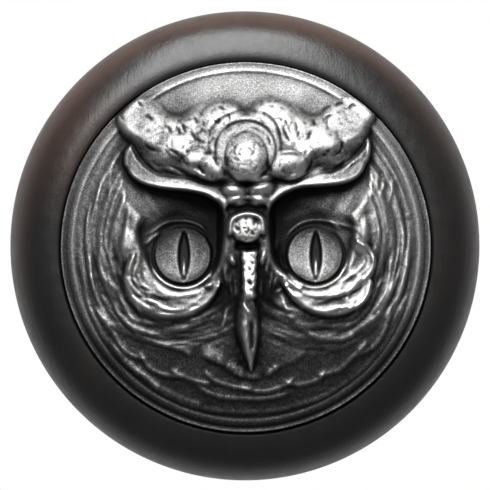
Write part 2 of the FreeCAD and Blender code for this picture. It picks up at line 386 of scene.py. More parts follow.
# Tufts and lobes are (centre), (radii), tilt in degrees, rise.
CHIN_TUFTS = [
    ((-0.18, -0.575), (0.08, 0.045), -30, 0.012), ((-0.06, -0.655), (0.06, 0.035), -30, 0.012),
    ((0.14, -0.66), (0.05, 0.02), 35, 0.012),
]
# Centre and radius of each eye.
EYES = [((-0.34, -0.04), 0.155), ((0.37, -0.04), 0.152)]
# Folds over the eyes, each with its rise.
UPPER_LIDS = [
    ([(-0.56, 0.05), (-0.5, 0.09), (-0.43, 0.135), (-0.34, 0.145), (-0.25, 0.12), (-0.19, 0.05)], 0.022),
    ([(-0.55, 0.01), (-0.51, 0.05), (-0.46, 0.085)], 0.018),
    ([(0.21, 0.03), (0.24, 0.09), (0.3, 0.135), (0.38, 0.15), (0.46, 0.135), (0.53, 0.08)], 0.022),
    ([(0.42, 0.165), (0.5, 0.13), (0.6, 0.1)], 0.014),
]
# Bags under the eyes: middle line, half widths along it, rise.
POUCHES = [
    ([(-0.595, -0.05), (-0.6, -0.15), (-0.55, -0.245), (-0.45, -0.285), (-0.32, -0.285), (-0.22, -0.25),
      (-0.16, -0.19)],
     [0.03, 0.075, 0.105, 0.11, 0.1, 0.075, 0.03], 0.075),
    ([(0.585, 0.03), (0.645, -0.03), (0.645, -0.11), (0.57, -0.185), (0.44, -0.225), (0.32, -0.215),
      (0.22, -0.14)],
     [0.03, 0.05, 0.06, 0.065, 0.06, 0.05, 0.03], 0.076),
    ([(0.655, -0.19), (0.6, -0.265), (0.47, -0.3), (0.32, -0.265), (0.21, -0.18)],
     [0.03, 0.07, 0.085, 0.07, 0.03], 0.092),
]
POUCH_FOLDS = [
    [(-0.65, -0.22), (-0.6, -0.255), (-0.5, -0.27), (-0.4, -0.28)],
    [(-0.63, -0.16), (-0.58, -0.21), (-0.5, -0.235)], [(-0.55, -0.33), (-0.42, -0.345), (-0.28, -0.33)],
    [(0.64, -0.1), (0.56, -0.165), (0.46, -0.205)],
]
CORNER_LOBES = [((-0.645, 0.01), (0.05, 0.11), 0, 0.022), ((0.655, 0.09), (0.05, 0.1), 0, 0.022)]
# Hollows under the brows, left and right.
SCOOPS = [
    [(-0.118, 0.06), (-0.122, 0.2), (-0.16, 0.243), (-0.22, 0.28), (-0.31, 0.305), (-0.43, 0.317),
     (-0.54, 0.337), (-0.61, 0.38), (-0.648, 0.44), (-0.672, 0.38), (-0.66, 0.28), (-0.625, 0.18),
     (-0.6, 0.115), (-0.55, 0.1), (-0.47, 0.125), (-0.38, 0.16), (-0.27, 0.145), (-0.19, 0.1)],
    [(0.118, 0.07), (0.122, 0.205), (0.155, 0.252), (0.215, 0.293), (0.3, 0.325), (0.41, 0.332),
     (0.53, 0.345), (0.61, 0.39), (0.652, 0.47), (0.675, 0.4), (0.66, 0.3), (0.62, 0.2), (0.585, 0.14),
     (0.53, 0.12), (0.47, 0.14), (0.38, 0.165), (0.28, 0.15), (0.2, 0.11)],
]
# Hollows round the eyes, left and right.
ORBITS = [
    [(-0.115, 0.2), (-0.16, 0.26), (-0.3, 0.26), (-0.45, 0.25), (-0.555, 0.19), (-0.6, 0.1),
     (-0.585, 0), (-0.52, -0.12), (-0.42, -0.19), (-0.28, -0.19), (-0.17, -0.13), (-0.12, -0.02)],
    [(0.115, 0.2), (0.16, 0.26), (0.3, 0.26), (0.45, 0.25), (0.555, 0.2), (0.6, 0.12), (0.59, 0.02),
     (0.55, -0.1), (0.46, -0.18), (0.32, -0.19), (0.18, -0.13), (0.12, -0.02)],
]
# Tufts between the brows.
KNOT = [
    ((-0.064, 0.318), (0.076, 0.056), -12, 0.07), ((0.074, 0.33), (0.084, 0.062), 14, 0.074),
    ((-0.044, 0.256), (0.068, 0.04), 0, 0.056), ((0.06, 0.258), (0.062, 0.04), 4, 0.056),
]
NOSTRILS = [
    [(0.101, 0.005), (0.088, -0.05), (0.071, -0.11)],
    [(-0.088, -0.03), (-0.072, -0.07), (-0.055, -0.1)],
]
BEAK_FEATHERS = [
    [(0.145, -0.1), (0.135, -0.16), (0.115, -0.25)], [(0.165, -0.13), (0.155, -0.18), (0.135, -0.24)],
    [(0.12, 0), (0.115, -0.08), (0.095, -0.17)], [(0.175, 0.06), (0.165, 0), (0.165, -0.06)],
    [(0.2, -0.225), (0.18, -0.225), (0.16, -0.245)], [(0.185, -0.24), (0.2, -0.29), (0.235, -0.35)],
    [(-0.146, -0.15), (-0.143, -0.19), (-0.138, -0.23)],
    [(-0.105, -0.29), (-0.115, -0.37), (-0.14, -0.46)],
    [(-0.12, -0.05), (-0.115, -0.14), (-0.095, -0.24)],
    [(-0.095, -0.12), (-0.085, -0.2), (-0.075, -0.3)],
    [(-0.065, -0.12), (-0.06, -0.22), (-0.055, -0.32)], [(0.075, -0.14), (0.078, -0.22), (0.07, -0.3)],
]


# ---- steps of the sculpture ----
DOME_RISE = 0.27
DOME_REACH = 0.95
FIELD_RISE = 0.012
CREASE_W = 0.006


def owl_sheet():
    """The owl's face as a height sheet. Later steps lie on top of earlier ones."""
    s = Sheet()
    for step in (dome, side_strands, neck_rows, facial_disc, chin_bib, pouches, brow_and_forehead,
                 sockets, eyes, lids, corner_lobes, knot, beak, rim):
        step(s)
    return s


def dome_height(r):
    """Height of the ground form at a radius."""
    ball = (DOME_REACH ** 2 + DOME_RISE ** 2) / (2 * DOME_RISE)
    return np.maximum(np.sqrt(np.clip(ball ** 2 - r ** 2, 0, None)) - ball + DOME_RISE, 0) + FIELD_RISE


def dome(s):
    """Ground form: a round dome that runs down to the rim, hollowed beside the beak."""
    s.h[:] = dome_height(s.r)
    s.h -= 0.05 * np.exp(-((s.side_u - 0.16) / 0.08) ** 2 - ((s.v + 0.25) / 0.22) ** 2)
    s.h -= 0.018 * np.exp(-((s.side_u - 0.375) / 0.08) ** 2 - ((s.v - 0.77) / 0.07) ** 2)
    s.h += 0.0022 * noise(60 * s.u, 60 * s.v, 31) * before(s.r, 0.93, 0.02) * before(s.v, 0.6, 0.1)
    # painted shade: darker towards the bottom of the face, and a little lighter at the top
    s.patina_and_painted_light += 0.08 + 0.27 * before(s.v, -0.3, 0.3) - 0.04 * past(s.v, 0.55, 0.2)
    # painted light: the right half is made lighter, except low down
    s.patina_and_painted_light -= 0.15 * past(s.u, 0, 0.3) * past(s.v, -0.4, 0.15)


def side_strands(s):
    """Long fine strands that run down round the sides, behind the face."""
    angle = np.arctan2(s.u, -s.v)
    flow = 40 * s.r + 1.6 * noise(4 * s.r, 3 * angle + 7, 3)
    strands = noise(flow, 2.2 * angle, 11) + 0.7 * noise(2.1 * flow, 4 * angle, 12)
    where = past(s.side_u, 0.6, 0.08) * before(s.r, 0.915, 0.03) * before(s.v, 0.66, 0.1)
    s.h += 0.014 * strands * where * past(s.v, -0.5, 0.25)
    for path in SIDE_FEATHERS:
        s.ridge(path, 0.008, 0.011, taper=0.45)


def neck_rows(s):
    """Rows of scale feathers; each has a crisp combed edge that stands over the row below."""
    for path in BORDER_LINES:
        s.flap(path, 0.014, 0.025, comb=0.2)
    for path in NECK_ROWS:
        s.flap(path, 0.014, 0.05, fade=0.18, comb=0.25)
        s.ridge([(0.987 * x, 0.987 * y) for x, y in path], 0.006, 0.008, taper=0.12)


def facial_disc(s):
    """Feathers ringed round each eye, from the beak round to the cheek."""
    for side in (-1, 1):
        du, dv = s.u - 0.36 * side, s.v + 0.02
        ring = np.hypot(du, dv * 1.05)
        turn = np.arctan2(du * side, -dv)
        fine = noise(44 * ring + 1.5 * noise(4 * turn, 3 * ring, 5), 3 * turn + 9 * side, 21)
        finer = noise(85 * ring, 5 * turn + 3 * side, 22)
        where = past(ring, 0.2, 0.06) * before(ring, 0.6, 0.08) * before(s.v, 0.02, 0.1)
        where *= past(s.u * side, 0.03, 0.06)
        s.h += (0.008 * fine + 0.006 * finer) * where
    for path, rise in FACE_RINGS:
        s.flap(path, 1.2 * rise, 0.035, lip=0.008, comb=0.15)


def chin_bib(s):
    """Ragged feathers and a few tufts under the bill."""
    for path, rise in CHIN:
        s.flap(path, rise, 0.05, fade=0.15, comb=0.4)
    for tuft in CHIN_TUFTS:
        s.clumps([tuft])


def pouches(s):
    """Each bag rises from the lid to a full lower edge and is gathered into long folds."""
    bag = np.zeros_like(s.h)
    for path, widths, rise in POUCHES:
        w, d, share, inward = s.near(path, max(widths))
        width = along(share, widths)
        across = np.clip(0.5 - 0.5 * np.sign(inward) * d / width, 0, 1)
        full = across ** 0.75 * before(across, 1, 0.22)
        bag[w] = np.maximum(bag[w], rise * full)
        flow = 62 * inward + 1.2 * noise(5 * share, 9 * inward, 8)
        folds = noise(flow, 2.5 * share + 5, 17) + 0.8 * noise(2.2 * flow, 5 * share, 18)
        body = smooth((width - d) / (0.5 * width))
        s.h[w] += 0.0045 * folds * body
        # the bags are a little lighter and their tone follows the folds; the right bag is lighter still, as
        # painted light
        s.patina_and_painted_light[w] -= (0.02 + 0.14 * (s.u[w] > 0) + 0.3 * folds) * body
    s.h += bag
    for path in POUCH_FOLDS:
        s.ridge(path, CREASE_W, -0.012, patina_and_painted_light=0.3)


def brow_and_forehead(s):
    """A sharp brow, then the ears and forehead in one mass of overlapping lobes that leans back."""
    deep = s.inside(MASS)
    edge = s.inside(SHELF)
    s.mass = past(deep, 0, 0.012)
    brow_strip(s, deep, edge)
    forehead(s, deep)
    hanging_strands(s, edge)
    nicks(s)


def brow_strip(s, deep, edge):
    """The smooth strip over each eye, with a raised lip and a dark groove where the forehead starts."""
    lip = 0.008 * (1 - np.clip(edge / 0.085, 0, 1)) ** 2 + 0.018 * (1 - np.clip(edge / 0.022, 0, 1)) ** 2
    lip *= past(s.side_u, 0.12, 0.05) * (1 - 0.5 * past(s.side_u, 0.42, 0.15))
    s.h += (0.06 + lip) * past(edge, -0.004, 0.012) * before(deep, 0.03, 0.035)
    s.patina_and_painted_light += (0.19 + 0.14 * before(deep, 0.01, 0.02)) * past(edge, 0.01, 0.02)
    groove = past(edge, 0.01, 0.02) * before(np.abs(deep + 0.006), 0.02, 0.02)
    s.patina_and_painted_light += groove * (0.05 + 0.2 * past(s.side_u, 0.34, 0.15))
    s.patina_and_painted_light += 0.32 * before(np.abs(edge), 0.05, 0.03) * past(s.side_u, 0.42, 0.1)


def forehead(s, deep):
    """The mass swells up from its outline, and lobes lie on it with dark lines round their edges."""
    reach = 0.065 + 0.14 * before(s.v, 0.64, 0.15) * past(s.side_u, 0.26, 0.14)
    puff = 1 - (1 - np.clip(deep / reach, 0, 1)) ** 2
    rise = (0.012 + 0.118 * before(s.v, 0.84, 0.4)) * puff
    rise *= 1 - 0.3 * before(s.v, 0.5, 0.12) * past(s.side_u, 0.12, 0.12)
    reaches = []
    bumps = np.zeros_like(rise)
    for centre, radii, tilt, foot, bump in LOBES:
        w, q = s.oval(centre, radii, tilt, grow=1.15)
        bumps[w] = np.maximum(bumps[w], np.where(q < 1, foot + bump * (1 - q), 0))
        reaches.append((w, np.sqrt(q), radii[0], foot))
    for w, q, radius, foot in reaches:
        shown = smooth((foot + 0.01 - bumps[w]) / 0.008) * past(deep[w], 0.02, 0.03)
        line = np.exp(-(((q - 1.03) * radius / CREASE_W) ** 2)) * past(s.v[w], 0.42, 0.04)
        s.patina_and_painted_light[w] += (0.15 + 12 * foot) * shown * line
    rise += bumps * past(deep, 0, 0.035)
    s.h = np.where(rise > 0, np.maximum(s.h, dome_height(s.r) + rise), s.h)
    s.h += 0.0012 * noise(95 * s.u, 95 * s.v, 35) * s.mass
    s.patina_and_painted_light += (0.09 * noise(115 * s.u, 115 * s.v, 39) - 0.08) * s.mass
    for path in CREASES:
        s.ridge(path, CREASE_W, -0.015, taper=0.35, patina_and_painted_light=0.45)


def hanging_strands(s, edge):
    """Strands along the lower edge of the mass, painted bright as painted light."""
    flow = 62 * edge + 1.5 * noise(7 * s.u, 7 * s.v, 73)
    hang = noise(flow, 6 * s.u + 9, 71) + 0.6 * noise(1.9 * flow, 9 * s.u + 9, 72)
    hanging = s.mass * before(s.v, 0.52, 0.08) * past(s.side_u, 0.24, 0.08)
    s.h += 0.006 * hang * hanging
    # painted light: these downward-facing strands are made lighter
    s.patina_and_painted_light -= (0.3 + 0.16 * hang) * hanging
    for path in HANGING:
        s.ridge(path, 0.01, 0.02, taper=0.45)


def nicks(s):
    """Arcs round the upper side of each lobe and short tool marks, like the ends of small feathers."""
    rng = np.random.default_rng(41)

    def arc(centre, radii, share, mid, half, depth, patina_and_painted_light):
        """A cut along a smaller oval inside a lobe, half the arc on each side of its middle."""
        turn = mid + np.linspace(-half, half, 5)
        rx, ry = radii[0] * share, radii[1] * share
        path = [(centre[0] + rx * math.cos(a), centre[1] + ry * math.sin(a)) for a in turn]
        s.ridge(path, 0.0042, depth, taper=0.4, patina_and_painted_light=patina_and_painted_light)

    for centre, radii, *_ in LOBES:
        faint = 0.35 if abs(centre[0]) > 0.5 else 1.0
        for share in (0.45, 0.7):
            mid = rng.normal(math.pi / 2 - 0.6 * np.sign(centre[0]), 0.5)
            arc(centre, radii, share, mid, rng.uniform(0.3, 0.6), -0.003 * faint, 0.14 * faint)
        for _ in range(18):
            share = rng.uniform(0.25, 0.95)
            mid = rng.uniform(0, 2 * math.pi)
            half = rng.uniform(0.06, 0.22) / share
            arc(centre, radii, share, mid, half, -0.005 * faint, 0.34 * faint)


def sockets(s):
    """A deep scoop under each brow that climbs outwards to a rounded wing, and an orbit below it."""
    u, v = s.u, s.v
    for outline in ORBITS:
        side = np.sign(outline[0][0])
        m = past(s.inside(outline), -0.006, 0.05)
        floor = 0.085 + 0.05 * past(u * side, 0.36, 0.16)
        s.h = s.h * (1 - m) + np.minimum(s.h, floor) * m
        # darker in the orbits: patina in the hollow and painted shade under the brow
        s.patina_and_painted_light += 0.25 * m
    for outline in SCOOPS:
        side = np.sign(outline[0][0])
        deep = s.inside(outline)
        roll = 0.03 + 0.09 * before(v, 0.26, 0.12)
        m = smooth((deep + 0.008) / roll)
        outer = past(u * side, 0.22, 0.38)
        strand = noise(26 * (u - 0.5 * v * side), 6 * v + 3 * side, 38)
        floor = 0.075 + 0.08 * outer * before(v, 0.5, 0.4)
        floor += 0.007 * strand * past(u * side, 0.35, 0.15)
        s.h = s.h * (1 - m) + floor * m
        # darker in the scoops and along their edges: patina in the hollow and painted shade under the brow
        s.patina_and_painted_light += 0.12 * m + 0.35 * before(np.abs(deep), 0.05, 0.05) * before(v, 0.26, 0.1)


def eyes(s):
    """Each eye is a low ball in a narrow moat, with a pointed slit pupil and a raised line in it."""
    for (cu, cv), radius in EYES:
        q = np.hypot(s.u - cu, s.v - cv) / radius
        ball = 0.138 + 0.03 * np.sqrt(np.clip(1 - 0.92 * q ** 2, 0, 1)) - 0.3 * (s.v - cv)
        moat = before(q, 1.085, 0.05)
        s.h = s.h * (1 - moat) + np.minimum(s.h, 0.115) * moat
        s.h = np.where(q < 1, np.maximum(s.h, ball), s.h)
        s.h -= 0.005 * bell(q, 0.88, 0.03)
        s.h += 0.0018 * noise(110 * s.u, 110 * s.v, 33) * before(q, 0.95, 0.05)
        # painted shadow of the brow: each eye is darker at its top and lighter at its bottom
        s.patina_and_painted_light += (0.04 + 0.42 * (s.v - cv) / radius) * before(q, 1.05, 0.05)
        w, d, share, _ = s.near([(cu + 0.006, cv + 0.135), (cu + 0.004, cv - 0.14)], 0.12)
        half = 0.03 * (1 - (2 * share - 1) ** 2)
        slit = smooth((half + 0.003 - d) / 0.01)
        core = np.exp(-((d / 0.009) ** 2)) * before(share, 0.95, 0.1) * past(share, 0.45, 0.3)
        s.h[w] -= 0.034 * slit
        s.h[w] += 0.022 * core
        s.patina_and_painted_light[w] += 0.35 * slit - 0.9 * core


def lids(s):
    """A thin raised line under each eye with a groove outside it, and faint lines above."""
    for (cu, cv), radius in EYES:
        side = np.sign(cu)
        turn = np.radians(np.linspace(-10, 205, 12))
        for grow, width, rise, patina_and_painted_light in ((1.105, 0.0065, 0.028, -0.2), (1.2, 0.009, -0.02, 0.5)):
            path = [(cu + side * grow * radius * math.cos(a), cv - grow * radius * math.sin(a))
                    for a in turn]
            s.ridge(path, width, rise, taper=0.25, patina_and_painted_light=patina_and_painted_light)
    for path, rise in UPPER_LIDS:
        s.ridge(path, 0.009, rise)


def corner_lobes(s):
    """A lobe at the outer corner of each eye."""
    s.clumps(CORNER_LOBES)


def knot(s):
    """Bright, rough tufts between the brows."""
    s.clumps(KNOT)
    where = before(s.side_u, 0.15, 0.03) * past(s.v, 0.23, 0.02) * before(s.v, 0.4, 0.02)
    s.h += 0.005 * noise(70 * s.u, 70 * s.v, 36) * where
    s.patina_and_painted_light -= 0.45 * where


BILL_U = 0.014
STRIP_END = -0.285
STRIP_HALF = 0.04  # half its width at the top
STRIP_TAPER = 0.05  # change of that per unit of v
PAD_V = 0.098


def beak(s):
    """Cere block with an arched edge, a pitted ridge, and a long bill that closes on its tip."""
    beak_base(s)
    cere(s)
    bill_strip(s)
    bill_tip(s)
    for path in NOSTRILS:
        s.ridge(path, 0.013, 0.048, taper=0.4, patina_and_painted_light=-0.7)
    for path in BEAK_FEATHERS:
        s.ridge(path, 0.0075, 0.016, taper=0.45, patina_and_painted_light=-0.3)


def beak_base(s):
    """The wide swell that carries the beak, with the walls beside it painted dark as painted shade."""
    spine = [(0.0, 0.13), (0.003, -0.1), (0.006, -0.3), (0.012, -0.45), (0.022, -0.58), (0.027, -0.655)]
    s.swell(spine, [0.1, 0.1, 0.09, 0.07, 0.035, 0.012], [0.25, 0.26, 0.27, 0.25, 0.19, 0.11], 1.5)
    # painted shade on the walls beside the beak
    walls = before(s.side_u, 0.19, 0.06) * before(s.v, 0.245, 0.03) * past(s.v, -0.42, 0.15)
    s.patina_and_painted_light += 0.58 * walls * (1 - 0.8 * before(s.side_u, 0.095, 0.02) * past(s.v, 0.02, 0.03))


def cere(s):
    """The block over the bill: a bright arch round a pitted pad."""
    u, v = s.u, s.v
    s.swell([(-0.055, 0.115), (0.055, 0.115)], 0.075, 0.305, 1.6)
    arch = [(-0.088, 0.085), (-0.078, 0.15), (-0.03, 0.18), (0.03, 0.183), (0.08, 0.158), (0.09, 0.09)]
    s.swell(arch, 0.02, 0.332, 2.5)
    s.ridge(arch, 0.016, 0.0, patina_and_painted_light=-0.75)
    q = np.hypot((u - 0.002) / 0.074, (v - PAD_V) / 0.07)
    pad = before(q, 1.0, 0.15)
    s.h = np.maximum(s.h, np.where(q < 1, 0.318 + 0.026 * (1 - q * q) - 0.1 * (v - PAD_V), 0))
    pits = smooth((noise(100 * u, 100 * v, 57) - 0.1) / 0.3)
    s.h -= 0.012 * pits * pad
    s.patina_and_painted_light += (0.75 * pits - 0.3) * pad
    s.ridge([(-0.07, 0.015), (0.0, 0.01), (0.08, 0.015)], 0.022, -0.05)


def bill_strip(s):
    """The bill's body and the flat bright strip along its top, with small pits."""
    u, v = s.u, s.v
    spine = [(-0.002, -0.26), (0.004, -0.34), (0.008, -0.45), (0.02, -0.58), (0.026, -0.655)]
    s.clumps((), [(spine, [0.05, 0.066, 0.068, 0.044, 0.008], 0.08)])
    across = np.abs(u - BILL_U)
    wander = 0.004 * noise(60 * v, 4 * np.sign(u - BILL_U), 37)
    half = STRIP_HALF + STRIP_TAPER * np.clip(v, STRIP_END, 0) + wander
    strip = past(v, STRIP_END, 0.02) * before(v, 0.005, 0.02)
    crest = 0.32 + 0.3 * np.clip(-v, 0, -STRIP_END) - 0.11 * smooth((across - half + 0.006) / 0.024)
    s.h = np.where((strip > 0) & (across < half + 0.018), np.maximum(s.h, crest * strip), s.h)
    bright = smooth((half + 0.006 - across) / 0.01) * past(v, -0.34, 0.03)
    s.patina_and_painted_light -= 0.95 * bright * before(v, 0.01, 0.02)
    rng = np.random.default_rng(55)
    for _ in range(60):
        pv = rng.uniform(-0.27, -0.005)
        pu = BILL_U + rng.uniform(-0.85, 0.85) * (STRIP_HALF + STRIP_TAPER * pv)
        s.ridge([(pu, pv), (pu + 0.002, pv - 0.002)], 0.0052, -0.01, taper=0, patina_and_painted_light=0.9)


def bill_tip(s):
    """Folds round the end of the strip, and the ridges and streaks that run down to the tip."""
    u, v = s.u, s.v
    s.ridge([(0.006, -0.288), (0.03, -0.315)], 0.014, -0.03, taper=0)
    s.ridge([(-0.018, -0.295), (0.01, -0.338), (0.04, -0.322)], 0.011, 0.016, patina_and_painted_light=-0.3)
    s.ridge([(-0.02, -0.36), (-0.006, -0.48), (0.019, -0.62)], 0.018, 0.022)
    s.ridge([(0.05, -0.36), (0.051, -0.48), (0.036, -0.6)], 0.008, 0.016)
    s.ridge([(0.024, -0.37), (0.028, -0.46), (0.029, -0.56)], 0.012, -0.018, patina_and_painted_light=0.3)
    streaks = noise(80 * u, 30 * v, 43)
    bill = before(np.abs(u - BILL_U), 0.075, 0.01) * before(v, -0.3, 0.03) * past(v, -0.66, 0.03)
    s.h += 0.01 * streaks * bill
    s.patina_and_painted_light += (0.05 + 0.42 * streaks) * bill


def rim(s):
    """A band that falls away outwards from a fine groove, with a thin raised line on its edge."""
    r, v = s.r, s.v
    inner = 0.925 + 0.018 * past(v, 0.6, 0.3)
    top = dome_height(inner) + 0.012
    fall = np.clip((r - inner) / (0.98 - inner), 0, 1)
    band = top * (1 - fall ** 1.5)
    band += 0.016 * past(r, 0.982, 0.005) * before(v, 0.5, 0.5)
    band -= 0.012 * bell(r, inner, 0.007)
    # painted light: the top of the band is made lighter
    s.patina_and_painted_light -= 0.12 * past(r, inner, 0.02) * past(v, 0.45, 0.25)
    s.patina_and_painted_light += 0.45 * s.mass * past(r, 0.978, 0.015)
    ring = smooth((r - inner + 0.004) / 0.006)
    ring *= 1 - s.mass
    s.h = s.h * (1 - ring) + band * ring


# ---- mesh helpers ----
def put_in_scene(name, data):
    """A new object in the scene."""
    thing = bpy.data.objects.new(name, data)
    bpy.context.scene.collection.objects.link(thing)
    return thing


def make_mesh(name, points, faces):
    """A smooth-shaded mesh in the scene."""
    mesh = bpy.data.meshes.new(name)
    mesh.from_pydata([tuple(p) for p in points], [], [tuple(f) for f in faces])
    mesh.update()
    mesh.polygons.foreach_set("use_smooth", [True] * len(mesh.polygons))
    return put_in_scene(name, mesh)


def grid_faces(rows, columns, start=0, closed=False):
    """Quads of a grid of points stored row by row; closed joins the last column to the first."""
    j = np.arange(columns if closed else columns - 1)
    k = (j + 1) % columns
    i = np.arange(rows - 1)[:, None] * columns + start
    return np.stack([i + j, i + k, i + columns + k, i + columns + j], axis=-1).reshape(-1, 4)


def stand_for(piece, node):
    """Shows the piece in place of a CAD node, on the part's one body."""
    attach(piece, "root")
    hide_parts(node)
    return piece


# ---- cast medallion ----
DISC_CELLS = 274
RING_LOOPS = 16
DISC_REACH = 0.90  # the grid ends here and the loops go on to the rim
FIELD_Y = BACK_Y - 2.85 * MM
RIM_FOOT_Y = BACK_Y - 2.1 * MM
BACK_BEVEL = 0.15 * MM
BACK_SHARE = 0.988  # radius of the flat back, in medallion radii
POCKET_R = 11.05 * MM
POCKET_H = 0.85 * MM
POCKET_DRAFT = 0.97
CASTING_RELIEF = (FIELD_Y - FRONT_Y) / MEDALLION_R
SOFTENING = 0.004
CAVITY_SCALES = ((0.010, 40), (0.03, 14), (0.08, 5))  # blur reach, gain


def sample(values, u, v):
    """Values of a sheet at places (u, v), by straight-line interpolation."""
    x = (u + SHEET_REACH) / (2 * SHEET_REACH) * (SHEET_N - 1)
    y = (v + SHEET_REACH) / (2 * SHEET_REACH) * (SHEET_N - 1)
    i, j = np.clip(x.astype(int), 0, SHEET_N - 2), np.clip(y.astype(int), 0, SHEET_N - 2)
    fx, fy = x - i, y - j
    low = values[j, i] * (1 - fx) + values[j, i + 1] * fx
    high = values[j + 1, i] * (1 - fx) + values[j + 1, i + 1] * fx
    return low * (1 - fy) + high * fy


def disc_grid(cells, reach):
    """A square grid bent to fill a disc, turned so that its four corners miss the ears."""
    line = np.linspace(-1, 1, cells + 1)
    x, y = np.meshgrid(line, line)
    u = x * np.sqrt(1 - y * y / 2)
    v = y * np.sqrt(1 - x * x / 2)
    turn = math.sqrt(0.5)
    return ((u - v) * turn * reach).ravel(), ((u + v) * turn * reach).ravel()


def edge_loop(cells):
    """The grid's outer points in order."""
    index = np.arange((cells + 1) ** 2).reshape(cells + 1, cells + 1)
    return np.concatenate([index[0, :-1], index[:-1, -1], index[-1, :0:-1], index[:0:-1, 0]])


def owl_casting():
    """The medallion as one closed mesh: the sculpted face, the rim's side, the back and its pocket."""
    sheet = owl_sheet()
    height = blur(sheet.h, SOFTENING)
    height = height * (CASTING_RELIEF / height.max())
    u, v = disc_grid(DISC_CELLS, DISC_REACH)
    loop = edge_loop(DISC_CELLS)
    count = len(loop)
    grow = [1 + (1 / DISC_REACH - 1) * k / RING_LOOPS for k in range(1, RING_LOOPS + 1)]
    all_u = np.concatenate([u] + [u[loop] * g for g in grow])
    all_v = np.concatenate([v] + [v[loop] * g for g in grow])
    h = sample(height, all_u, all_v)
    front = np.stack([all_u * MEDALLION_R, FIELD_Y - h * MEDALLION_R, all_v * MEDALLION_R], axis=1)

    outer = front[-count:]
    pocket_share = POCKET_R / MEDALLION_R
    behind = []
    for share, y in ((1, RIM_FOOT_Y), (1, BACK_Y - BACK_BEVEL), (BACK_SHARE, BACK_Y),
                     (pocket_share, BACK_Y), (POCKET_DRAFT * pocket_share, BACK_Y - POCKET_H)):
        behind.append(np.stack([outer[:, 0] * share, np.full(count, y), outer[:, 2] * share], axis=1))
    centre = np.array([[0, BACK_Y - POCKET_H, 0]])
    points = np.concatenate([front] + behind + [centre])

    disc = grid_faces(DISC_CELLS + 1, DISC_CELLS + 1)
    first = grid_faces(2, count, closed=True)
    first = np.where(first < count, loop[first % count], first - count + len(u))
    rings = grid_faces(RING_LOOPS + len(behind), count, len(u), closed=True)
    last = len(points) - 1
    fan_start = last - count
    faces = [f for part in (disc, first[:, ::-1], rings[:, ::-1]) for f in part.tolist()]
    faces += [(fan_start + (k + 1) % count, fan_start + k, last) for k in range(count)]
    piece = make_mesh("owl_casting", points, faces)

    # on top of the patina and painted light of the sheet, hollows are darker and high places brighter, at
    # three scales
    full_patina_and_painted_light = sheet.patina_and_painted_light.copy()
    for reach, gain in CAVITY_SCALES:
        full_patina_and_painted_light += np.clip(gain * (blur(height, reach) - height), -0.45, 0.60)
    values = np.zeros(len(points))
    values[:len(all_u)] = sample(full_patina_and_painted_light, all_u, all_v)
    tone = piece.data.attributes.new("full_patina_and_painted_light", "FLOAT", "POINT")
    tone.data.foreach_set("value", values)
    return stand_for(piece, "owl_medallion")


# ---- turned wood ----
# Outlines are (radius, depth) in millimetres; depth 0 is the foot and grows towards the owl.
FIT_GAP = 0.12
BOND_T = 0.15
PILOT_R = 2.4
PILOT_D = 15.0
BARREL_R = 3.4
BARREL_D = 11.1
COLLAR_R = 4.12
COLLAR_D = 0.82
BEAD_R = 9.5
BEAD_EDGE = 9.05
BEAD_D = 2.2
NECK = (6.4, 6.6)
BELLY = (16.6, 13.0)
WIDEST_D = 16.8
WOOD_SEGMENTS = 288


def turned(r, d, angle):
    """The place at a radius and depth in millimetres, turned about the Y axis."""
    return r * MM * math.cos(angle), -d * MM, r * MM * math.sin(angle)


def quarter(level_end, upright_end, steps):
    """A quarter of an ellipse, square to the axis at level_end and along the axis at upright_end."""
    turn = np.linspace(0, math.pi / 2, steps + 1)
    r = level_end[0] + (upright_end[0] - level_end[0]) * np.sin(turn)
    d = upright_end[1] + (level_end[1] - upright_end[1]) * np.cos(turn)
    return list(zip(r, d))


def revolve(name, outline, segments):
    """Turns an outline about the Y axis; it starts and ends on the axis."""
    turn = np.linspace(0, 2 * math.pi, segments, endpoint=False)
    rows = outline[1:-1]
    points = [turned(r, d, a) for r, d in rows for a in turn]
    faces = grid_faces(len(rows), segments, closed=True).tolist()
    first, last = len(points), len(points) + 1
    points += [(0, -outline[0][1] * MM, 0), (0, -outline[-1][1] * MM, 0)]
    tail = (len(rows) - 1) * segments
    for k in range(segments):
        after = (k + 1) % segments
        faces.append((first, after, k))
        faces.append((last, tail + k, tail + after))
    return make_mesh(name, points, faces)


